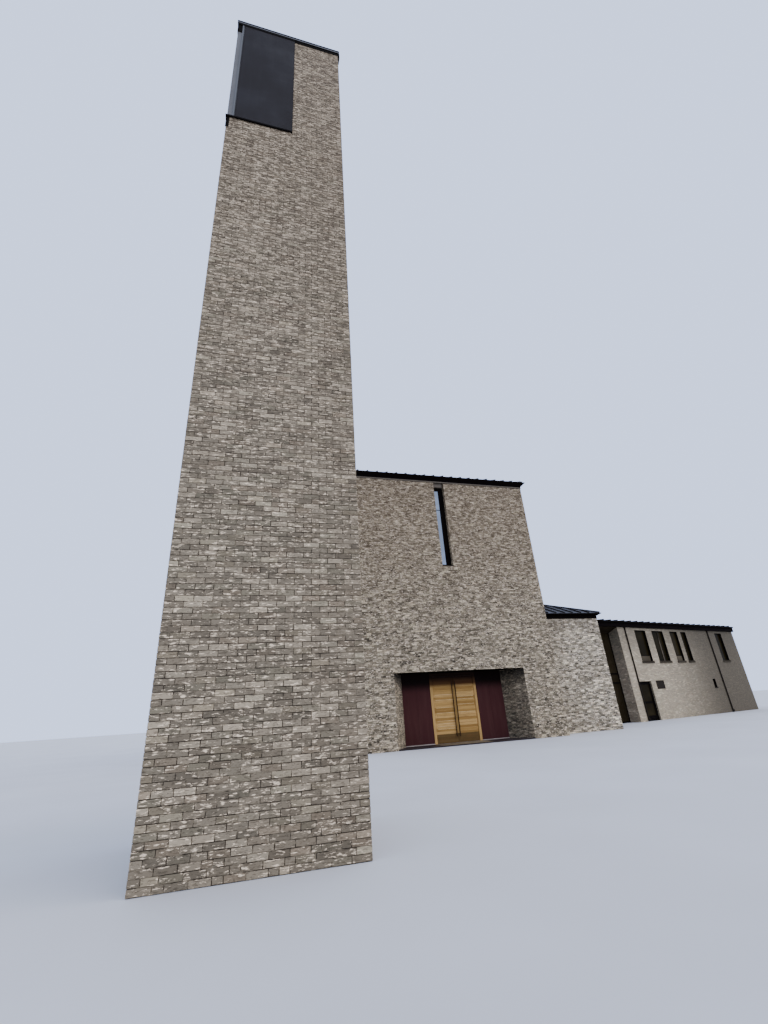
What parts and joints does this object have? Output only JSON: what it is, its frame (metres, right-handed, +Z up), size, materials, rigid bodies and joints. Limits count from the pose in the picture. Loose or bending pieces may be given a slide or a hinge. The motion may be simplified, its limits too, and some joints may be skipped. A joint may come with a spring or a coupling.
{
  "type": "modern brick church building with bell tower",
  "caption": "Free-standing brick bell tower and tall nave with a deep porch and oak double doors, a lean-to annex, a glazed link and a two-storey wing.",
  "frame": {"origin": "on the ground, at the middle of the main doors, under the porch floor", "axes": "+X to the right along the nave front, +Y into the building, +Z up"},
  "size_m": [38.6029, 30.925, 17.55],
  "materials": {
    "brick": "pale grey-brown handmade brick with smeared light mortar",
    "dark_metal": "near-black folded sheet metal",
    "roof_metal": "dark standing-seam metal",
    "pale_metal": "light grey folded sheet metal",
    "maroon_panel": "dark wine-red painted panel",
    "oak": "oiled oak boards",
    "glass": "clear dark glazing",
    "concrete": "smooth grey concrete"
  },
  "bodies": {
    "root": {"tower_front_wall": "brick", "tower_left_wall": "brick", "tower_right_wall": "brick", "tower_back_wall": "brick", "belfry_sill": "dark_metal", "belfry_corner_post": "pale_metal", "belfry_front_panel": "dark_metal", "belfry_side_panel": "dark_metal", "tower_cap": "dark_metal", "nave_front_wall_left": "brick", "nave_front_wall_right": "brick", "nave_front_wall_upper": "brick", "nave_back_wall": "brick", "nave_left_wall": "brick", "nave_right_wall": "brick", "front_slot_glass": "glass", "back_slot_glass": "glass", "nave_floor": "concrete", "nave_eaves": "dark_metal", "nave_roof": "roof_metal", "porch_cheek_left": "brick", "porch_cheek_right": "brick", "porch_panel_left": "maroon_panel", "porch_panel_right": "maroon_panel", "porch_soffit": "dark_metal", "porch_floor": "concrete", "main_door_frame": "oak", "annex_front_wall": "brick", "annex_right_wall": "brick", "annex_back_wall": "brick", "annex_eaves": "dark_metal", "annex_roof": "roof_metal", "wing_front_wall_left": "brick", "wing_front_wall_lower": "brick", "wing_front_wall_upper": "brick", "wing_left_wall": "brick", "wing_right_wall": "brick", "wing_back_wall": "brick", "wing_ground_floor": "concrete", "wing_upper_floor": "concrete", "wing_roof": "roof_metal", "wing_front_windows": "glass", "wing_back_windows": "glass", "wing_small_window": "glass", "wing_door_frame": "dark_metal", "wing_downpipe_left": "dark_metal", "wing_downpipe_right": "dark_metal", "wing_plaque": "dark_metal", "link_screen": "glass", "link_floor": "concrete"},
    "main_door_left": {"main_door_leaf_left": "oak", "main_door_pull_left": "dark_metal"},
    "main_door_right": {"main_door_leaf_right": "oak", "main_door_pull_right": "dark_metal"},
    "wing_door": {"wing_door_leaf": "dark_metal"}
  },
  "joints": [
    {"name": "main_door_left_hinge", "type": "hinge", "parent": "root", "child": "main_door_left", "pos_m": [-1.029, 0.04, 0.06], "axis": [0, 0, -1], "range_deg": [0, 95]},
    {"name": "main_door_right_hinge", "type": "hinge", "parent": "root", "child": "main_door_right", "pos_m": [1.029, 0.04, 0.06], "axis": [0, 0, 1], "range_deg": [0, 95]},
    {"name": "wing_door_hinge", "type": "hinge", "parent": "root", "child": "wing_door", "pos_m": [14.66195, 4.22994, 0.06], "axis": [0, 0, -1], "range_deg": [0, 90]}
  ]
}
